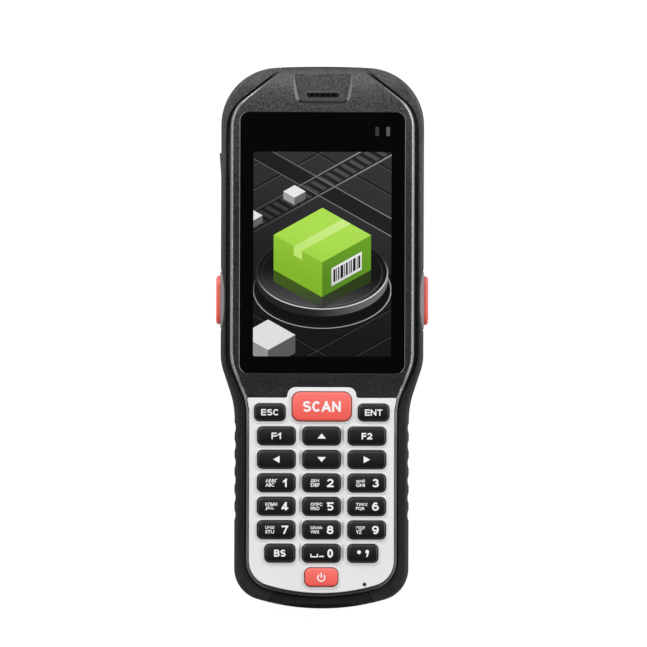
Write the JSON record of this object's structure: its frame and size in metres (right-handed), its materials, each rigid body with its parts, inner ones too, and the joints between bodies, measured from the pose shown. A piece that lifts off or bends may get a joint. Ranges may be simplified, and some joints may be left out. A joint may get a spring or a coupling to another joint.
{
  "type": "handheld barcode data terminal",
  "caption": "Rugged handheld barcode data terminal: large display over a keypad, side scan triggers, soft side bumper, scan window at the top end and a battery door in the back.",
  "frame": {"origin": "centre of the footprint, on the table that the back lies on", "axes": "+Y towards the scanner end, +X to the right of the display, +Z out of the display"},
  "size_m": [0.0756, 0.193, 0.031],
  "materials": {
    "housing_plastic": "fine spark-eroded grain",
    "bumper_rubber": "soft-touch overmould, fine grain",
    "seal_rubber": "smooth black rubber",
    "display_glass": "polished clear",
    "printed_border": "black print under glass",
    "light_pipe": "smoked clear",
    "display_panel": "lit display behind glass",
    "frame_metal": "die cast",
    "plate_silver": "silver-white satin paint",
    "key_silicone": "translucent grey silicone",
    "dome_film": "clear film with metal domes",
    "circuit_board": "green solder mask",
    "tinned_steel": "tin plated",
    "engine_plastic": "black",
    "scan_pane": "dark red tinted pane",
    "steel_mesh": "blackened",
    "camera_pane": "dark clear pane",
    "signal_red": "satin coral red",
    "bezel_silver": "silver-grey paint",
    "steel_pin": "ground",
    "battery_case": "black wrap",
    "latch_plastic": "ribbed",
    "steel_screw": "black oxide",
    "gold_contact": "gold flash",
    "key_black": "semi-gloss hard coat"
  },
  "bodies": {
    "housing": {"front_housing": "housing_plastic", "rear_housing": "housing_plastic", "side_bumper": "bumper_rubber", "housing_gasket": "seal_rubber", "cover_glass": "display_glass", "display_mask": "printed_border", "indicator_lenses": "light_pipe", "lcd_module": "display_panel", "inner_frame": "frame_metal", "keypad_plate": "plate_silver", "key_mat": "key_silicone", "dome_sheet": "dome_film", "keypad_board": "circuit_board", "main_board": "circuit_board", "board_shields": "tinned_steel", "scan_engine": "engine_plastic", "scan_bracket": "tinned_steel", "scan_window": "scan_pane", "earpiece_speaker": "engine_plastic", "earpiece_grille": "steel_mesh", "loudspeaker": "engine_plastic", "camera_module": "engine_plastic", "camera_window": "camera_pane", "trigger_switches": "engine_plastic", "trigger_bezels": "bezel_silver", "flap_pin": "steel_pin", "port_socket": "tinned_steel", "battery_pack": "battery_case", "battery_contacts": "engine_plastic", "door_hinge_pin": "steel_pin", "microphone": "tinned_steel", "housing_screws": "steel_screw", "dock_contacts": "gold_contact"},
    "key_escape": {"key_escape": "key_black"},
    "key_enter": {"key_enter": "key_black"},
    "key_scan": {"key_scan": "signal_red"},
    "key_power": {"key_power": "signal_red"},
    "key_0": {"key_0": "key_black"},
    "key_backspace": {"key_backspace": "key_black"},
    "key_point": {"key_point": "key_black"},
    "key_f1": {"key_f1": "key_black"},
    "key_up": {"key_up": "key_black"},
    "key_f2": {"key_f2": "key_black"},
    "key_left": {"key_left": "key_black"},
    "key_down": {"key_down": "key_black"},
    "key_right": {"key_right": "key_black"},
    "key_1": {"key_1": "key_black"},
    "key_2": {"key_2": "key_black"},
    "key_3": {"key_3": "key_black"},
    "key_4": {"key_4": "key_black"},
    "key_5": {"key_5": "key_black"},
    "key_6": {"key_6": "key_black"},
    "key_7": {"key_7": "key_black"},
    "key_8": {"key_8": "key_black"},
    "key_9": {"key_9": "key_black"},
    "left_trigger": {"left_trigger": "signal_red"},
    "right_trigger": {"right_trigger": "signal_red"},
    "port_flap": {"port_flap": "seal_rubber"},
    "battery_door": {"battery_door": "housing_plastic"},
    "battery_latch": {"battery_latch": "latch_plastic"}
  },
  "joints": [
    {"name": "press_escape", "type": "slide", "parent": "housing", "child": "key_escape", "axis": [0, 0, 1], "range_m": [-0.0006, 0], "stiffness_N_per_m": 400, "springref_m": 0.0008},
    {"name": "press_enter", "type": "slide", "parent": "housing", "child": "key_enter", "axis": [0, 0, 1], "range_m": [-0.0006, 0], "stiffness_N_per_m": 400, "springref_m": 0.0008},
    {"name": "press_scan", "type": "slide", "parent": "housing", "child": "key_scan", "axis": [0, 0, 1], "range_m": [-0.0006, 0], "stiffness_N_per_m": 400, "springref_m": 0.0008},
    {"name": "press_power", "type": "slide", "parent": "housing", "child": "key_power", "axis": [0, 0, 1], "range_m": [-0.0006, 0], "stiffness_N_per_m": 400, "springref_m": 0.0008},
    {"name": "press_0", "type": "slide", "parent": "housing", "child": "key_0", "axis": [0, 0, 1], "range_m": [-0.0006, 0], "stiffness_N_per_m": 400, "springref_m": 0.0008},
    {"name": "press_backspace", "type": "slide", "parent": "housing", "child": "key_backspace", "axis": [0, 0, 1], "range_m": [-0.0006, 0], "stiffness_N_per_m": 400, "springref_m": 0.0008},
    {"name": "press_point", "type": "slide", "parent": "housing", "child": "key_point", "axis": [0, 0, 1], "range_m": [-0.0006, 0], "stiffness_N_per_m": 400, "springref_m": 0.0008},
    {"name": "press_f1", "type": "slide", "parent": "housing", "child": "key_f1", "axis": [0, 0, 1], "range_m": [-0.0006, 0], "stiffness_N_per_m": 400, "springref_m": 0.0008},
    {"name": "press_up", "type": "slide", "parent": "housing", "child": "key_up", "axis": [0, 0, 1], "range_m": [-0.0006, 0], "stiffness_N_per_m": 400, "springref_m": 0.0008},
    {"name": "press_f2", "type": "slide", "parent": "housing", "child": "key_f2", "axis": [0, 0, 1], "range_m": [-0.0006, 0], "stiffness_N_per_m": 400, "springref_m": 0.0008},
    {"name": "press_left", "type": "slide", "parent": "housing", "child": "key_left", "axis": [0, 0, 1], "range_m": [-0.0006, 0], "stiffness_N_per_m": 400, "springref_m": 0.0008},
    {"name": "press_down", "type": "slide", "parent": "housing", "child": "key_down", "axis": [0, 0, 1], "range_m": [-0.0006, 0], "stiffness_N_per_m": 400, "springref_m": 0.0008},
    {"name": "press_right", "type": "slide", "parent": "housing", "child": "key_right", "axis": [0, 0, 1], "range_m": [-0.0006, 0], "stiffness_N_per_m": 400, "springref_m": 0.0008},
    {"name": "press_1", "type": "slide", "parent": "housing", "child": "key_1", "axis": [0, 0, 1], "range_m": [-0.0006, 0], "stiffness_N_per_m": 400, "springref_m": 0.0008},
    {"name": "press_2", "type": "slide", "parent": "housing", "child": "key_2", "axis": [0, 0, 1], "range_m": [-0.0006, 0], "stiffness_N_per_m": 400, "springref_m": 0.0008},
    {"name": "press_3", "type": "slide", "parent": "housing", "child": "key_3", "axis": [0, 0, 1], "range_m": [-0.0006, 0], "stiffness_N_per_m": 400, "springref_m": 0.0008},
    {"name": "press_4", "type": "slide", "parent": "housing", "child": "key_4", "axis": [0, 0, 1], "range_m": [-0.0006, 0], "stiffness_N_per_m": 400, "springref_m": 0.0008},
    {"name": "press_5", "type": "slide", "parent": "housing", "child": "key_5", "axis": [0, 0, 1], "range_m": [-0.0006, 0], "stiffness_N_per_m": 400, "springref_m": 0.0008},
    {"name": "press_6", "type": "slide", "parent": "housing", "child": "key_6", "axis": [0, 0, 1], "range_m": [-0.0006, 0], "stiffness_N_per_m": 400, "springref_m": 0.0008},
    {"name": "press_7", "type": "slide", "parent": "housing", "child": "key_7", "axis": [0, 0, 1], "range_m": [-0.0006, 0], "stiffness_N_per_m": 400, "springref_m": 0.0008},
    {"name": "press_8", "type": "slide", "parent": "housing", "child": "key_8", "axis": [0, 0, 1], "range_m": [-0.0006, 0], "stiffness_N_per_m": 400, "springref_m": 0.0008},
    {"name": "press_9", "type": "slide", "parent": "housing", "child": "key_9", "axis": [0, 0, 1], "range_m": [-0.0006, 0], "stiffness_N_per_m": 400, "springref_m": 0.0008},
    {"name": "pull_left_trigger", "type": "slide", "parent": "housing", "child": "left_trigger", "axis": [1, 0, 0], "range_m": [0, 0.0006], "stiffness_N_per_m": 600, "springref_m": -0.0006},
    {"name": "pull_right_trigger", "type": "slide", "parent": "housing", "child": "right_trigger", "axis": [-1, 0, 0], "range_m": [0, 0.0006], "stiffness_N_per_m": 600, "springref_m": -0.0006},
    {"name": "open_port_flap", "type": "hinge", "parent": "housing", "child": "port_flap", "pos_m": [-0.0352, 0.0418, 0.0145], "axis": [0, 0, 1], "range_deg": [0, 95]},
    {"name": "open_battery_door", "type": "hinge", "parent": "housing", "child": "battery_door", "pos_m": [0, -0.0734, 0.0056], "axis": [-1, 0, 0], "range_deg": [0, 80]},
    {"name": "slide_battery_latch", "type": "slide", "parent": "battery_door", "child": "battery_latch", "axis": [0, -1, 0], "range_m": [0, 0.0025]}
  ]
}
